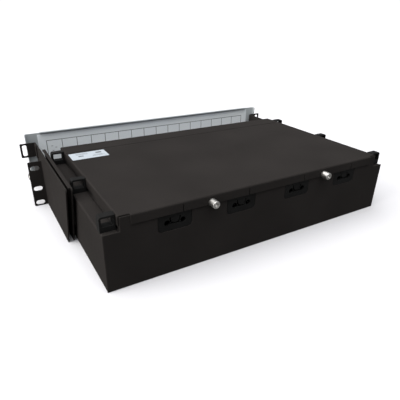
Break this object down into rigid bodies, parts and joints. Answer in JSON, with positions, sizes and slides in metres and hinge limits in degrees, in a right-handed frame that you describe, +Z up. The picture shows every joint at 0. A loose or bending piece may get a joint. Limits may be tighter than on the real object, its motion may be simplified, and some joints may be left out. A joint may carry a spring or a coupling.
{
  "type": "fiber termination box",
  "caption": "Slide-out rack-mounted fibre termination box with a lift-off cover, side cable rings, rear cable entries and a drop-down front door.",
  "frame": {"origin": "middle of the whole box's footprint, on the underside", "axes": "+X across the rack to the right as seen from the front door, +Y from the door to the rear panel, +Z up"},
  "size_m": [0.484, 0.347, 0.088],
  "materials": {
    "black_coat": "fine-textured black powder coat",
    "grey_coat": "smooth light grey coat",
    "label_stock": "pale printed card",
    "sticker": "white label stock",
    "nickel": "bright nickel plate",
    "steel": "zinc-plated steel",
    "black_moulding": "moulded black nylon",
    "blue_moulding": "moulded blue adapter body",
    "cap_rubber": "soft dust caps",
    "tray_plastic": "moulded grey tray",
    "clear_lid": "clear polycarbonate",
    "sleeve": "heat-shrink splice sleeves"
  },
  "bodies": {
    "chassis": {"adapter_dust_caps": "cap_rubber", "adapter_plate_1": "black_coat", "adapter_plate_2": "black_coat", "adapter_plate_3": "black_coat", "adapter_plate_4": "black_coat", "adapter_plate_rivets": "black_moulding", "anchor_bar": "black_coat", "base_pan": "black_coat", "cable_entry_plate_1": "black_moulding", "cable_entry_plate_2": "black_moulding", "cable_entry_plate_3": "black_moulding", "cable_entry_plate_4": "black_moulding", "cover_support_rail": "black_coat", "door_magnets": "steel", "fiber_adapters": "blue_moulding", "front_panel": "black_coat", "front_top_strip": "black_coat", "front_trough": "black_coat", "left_cable_ring_front": "black_moulding", "left_cable_ring_middle": "black_moulding", "left_cable_ring_rear": "black_moulding", "left_channel_wall": "black_coat", "left_front_ring": "black_coat", "left_inner_rail": "black_coat", "left_slack_spool": "black_moulding", "panel_screws": "steel", "rear_panel": "black_coat", "right_cable_ring_front": "black_moulding", "right_cable_ring_middle": "black_moulding", "right_cable_ring_rear": "black_moulding", "right_channel_wall": "black_coat", "right_front_ring": "black_coat", "right_inner_rail": "black_coat", "right_slack_spool": "black_moulding", "splice_sleeves": "sleeve", "splice_tray_lid": "clear_lid", "splice_tray_lower": "tray_plastic", "splice_tray_upper": "tray_plastic", "strength_member_clamps": "steel", "tray_nuts": "steel", "tray_studs": "steel"},
    "cover": {"top_cover": "black_coat", "cover_sticker": "sticker"},
    "right_rack_bracket": {"right_bracket": "black_coat"},
    "left_rack_bracket": {"left_bracket": "black_coat"},
    "right_carrier": {"right_slide_carrier": "black_coat"},
    "left_carrier": {"left_slide_carrier": "black_coat"},
    "door": {"door_panel": "grey_coat", "door_label_card": "label_stock", "door_hinge_lugs": "steel", "door_hinge_pins": "steel"},
    "right_cover_screw": {"right_cover_thumbscrew": "nickel"},
    "left_cover_screw": {"left_cover_thumbscrew": "nickel"},
    "right_lock_screw": {"right_lock_thumbscrew": "nickel"},
    "left_lock_screw": {"left_lock_thumbscrew": "nickel"}
  },
  "joints": [
    {"name": "cover_lift", "type": "slide", "parent": "chassis", "child": "cover", "axis": [0, 0, 1], "range_m": [0, 0.08]},
    {"name": "door_hinge", "type": "hinge", "parent": "chassis", "child": "door", "pos_m": [0, -0.1655, 0.012], "axis": [1, 0, 0], "range_deg": [0, 90]},
    {"name": "right_bracket_slide", "type": "slide", "parent": "chassis", "child": "right_rack_bracket", "axis": [0, 1, 0], "range_m": [0, 0.15]},
    {"name": "left_bracket_slide", "type": "slide", "parent": "chassis", "child": "left_rack_bracket", "axis": [0, 1, 0], "range_m": [0, 0.15]},
    {"name": "right_carrier_slide", "type": "slide", "parent": "chassis", "child": "right_carrier", "axis": [0, 1, 0], "range_m": [0, 0.075]},
    {"name": "left_carrier_slide", "type": "slide", "parent": "chassis", "child": "left_carrier", "axis": [0, 1, 0], "range_m": [0, 0.075]},
    {"name": "right_cover_screw_turn", "type": "hinge", "parent": "chassis", "child": "right_cover_screw", "pos_m": [0.0865, 0.1615, 0.0782], "axis": [0, 1, 0], "continuous": true},
    {"name": "right_lock_screw_turn", "type": "hinge", "parent": "chassis", "child": "right_lock_screw", "pos_m": [0.236, -0.0895, 0.04328], "axis": [0, 1, 0], "continuous": true},
    {"name": "left_cover_screw_turn", "type": "hinge", "parent": "chassis", "child": "left_cover_screw", "pos_m": [-0.0865, 0.1615, 0.0782], "axis": [0, 1, 0], "continuous": true},
    {"name": "left_lock_screw_turn", "type": "hinge", "parent": "chassis", "child": "left_lock_screw", "pos_m": [-0.236, -0.0895, 0.04328], "axis": [0, 1, 0], "continuous": true}
  ],
  "couplings": [
    {"joint": "left_bracket_slide", "follows": "right_bracket_slide", "ratio": 1},
    {"joint": "right_carrier_slide", "follows": "right_bracket_slide", "ratio": 0.5},
    {"joint": "left_carrier_slide", "follows": "right_bracket_slide", "ratio": 0.5}
  ]
}
